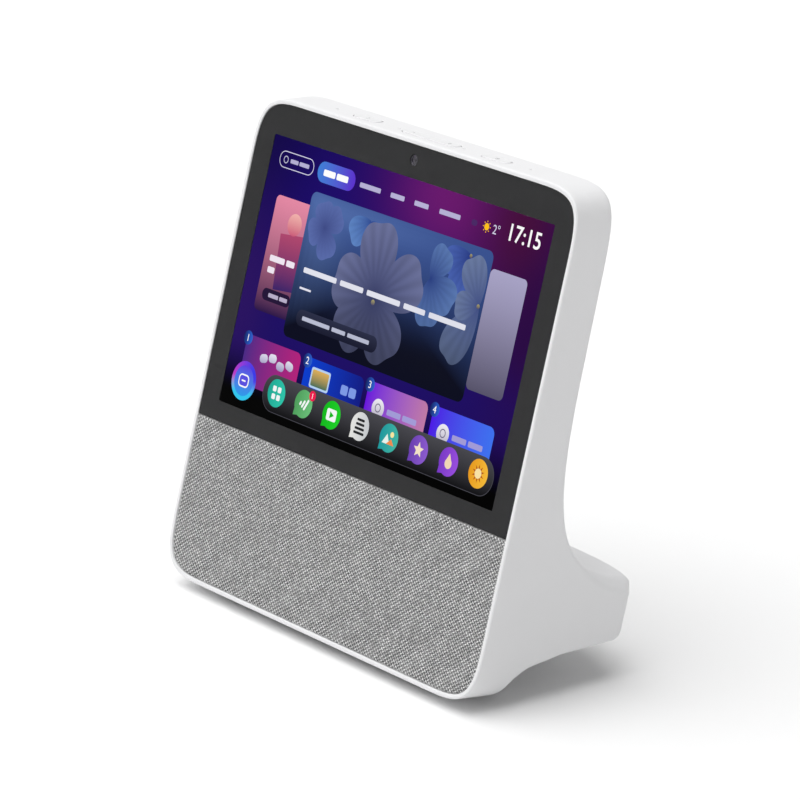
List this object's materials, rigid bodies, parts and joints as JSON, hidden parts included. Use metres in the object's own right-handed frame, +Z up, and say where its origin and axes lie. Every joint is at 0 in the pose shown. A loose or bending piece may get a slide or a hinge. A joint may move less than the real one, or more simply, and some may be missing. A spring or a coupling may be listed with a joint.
{
  "type": "smart display",
  "caption": "Free-standing smart display: tilted touch screen above a fabric speaker grille, in a moulded shell with a rear foot and top keys.",
  "frame": {"origin": "centre of the bounding box at table level", "axes": "+Z up, +X to the right of someone facing the screen, the screen faces -Y and leans back 15.4 degrees"},
  "size_m": [0.198, 0.0932, 0.1918],
  "materials": {
    "housing_white": "fine matt moulded texture",
    "key_white": "fine matt moulded texture",
    "cover_glass": "clear glass with a printed charcoal border",
    "foam_tape": "black foam tape",
    "black_plastic": "matt",
    "screen": "lit screen behind the glass",
    "aluminium": "rolled sheet",
    "woven_fabric": "mottled grey basket weave",
    "thermal_grey": "soft",
    "steel": "nickel plated",
    "circuit_board": "solder mask",
    "flex_cable": "polyimide film",
    "lens_glass": "coated",
    "dark_metal": "black coated",
    "speaker_paper": "pressed paper",
    "black_rubber": "matt",
    "base_grey": "matt",
    "plunger_grey": "matt"
  },
  "bodies": {
    "housing": {"rear_housing": "housing_white", "cover_glass": "cover_glass", "glass_adhesive": "foam_tape", "front_frame": "black_plastic", "grille_carrier": "black_plastic", "speaker_box": "black_plastic", "dc_jack": "black_plastic", "camera_module": "black_plastic", "mic_key_switch": "black_plastic", "camera_key_switch": "black_plastic", "volume_down_switch": "black_plastic", "volume_up_switch": "black_plastic", "lcd_panel": "screen", "backlight_tray": "aluminium", "heat_spreader": "aluminium", "grille_fabric": "woven_fabric", "thermal_pad": "thermal_grey", "processor_shield": "steel", "rocker_bracket": "steel", "rocker_pin": "steel", "microphone_1": "steel", "microphone_2": "steel", "microphone_3": "steel", "microphone_4": "steel", "base_screw_1": "steel", "base_screw_2": "steel", "base_screw_3": "steel", "base_screw_4": "steel", "main_board": "circuit_board", "key_board": "circuit_board", "display_flex": "flex_cable", "camera_flex": "flex_cable", "key_flex": "flex_cable", "left_antenna": "flex_cable", "right_antenna": "flex_cable", "camera_lens": "lens_glass", "light_sensor": "lens_glass", "left_speaker_basket": "dark_metal", "right_speaker_basket": "dark_metal", "left_speaker_magnet": "dark_metal", "right_speaker_magnet": "dark_metal", "left_speaker_surround": "black_rubber", "right_speaker_surround": "black_rubber", "front_foot": "black_rubber", "rear_foot_left": "black_rubber", "rear_foot_right": "black_rubber", "microphone_seal_1": "black_rubber", "microphone_seal_2": "black_rubber", "microphone_seal_3": "black_rubber", "microphone_seal_4": "black_rubber", "base_plate": "base_grey"},
    "mic_key": {"mic_key": "key_white", "mic_key_plunger": "plunger_grey"},
    "camera_key": {"camera_key": "key_white", "camera_key_plunger": "plunger_grey"},
    "volume_rocker": {"volume_rocker": "key_white", "volume_down_plunger": "plunger_grey", "volume_up_plunger": "plunger_grey"},
    "left_speaker_cone": {"left_speaker_cone": "speaker_paper"},
    "right_speaker_cone": {"right_speaker_cone": "speaker_paper"}
  },
  "joints": [
    {"name": "mic_key_press", "type": "slide", "parent": "housing", "child": "mic_key", "axis": [0, -0.0593, -0.9982], "range_m": [0, 0.0004]},
    {"name": "camera_key_press", "type": "slide", "parent": "housing", "child": "camera_key", "axis": [0, -0.0593, -0.9982], "range_m": [0, 0.0004]},
    {"name": "volume_rock", "type": "hinge", "parent": "housing", "child": "volume_rocker", "pos_m": [0, 0.0117, 0.18655], "axis": [0, -0.9982, 0.0593], "range_deg": [-1.5, 1.5]},
    {"name": "left_cone_stroke", "type": "slide", "parent": "housing", "child": "left_speaker_cone", "axis": [0, -0.9641, 0.2656], "range_m": [-0.0015, 0.0015]},
    {"name": "right_cone_stroke", "type": "slide", "parent": "housing", "child": "right_speaker_cone", "axis": [0, -0.9641, 0.2656], "range_m": [-0.0015, 0.0015]}
  ]
}
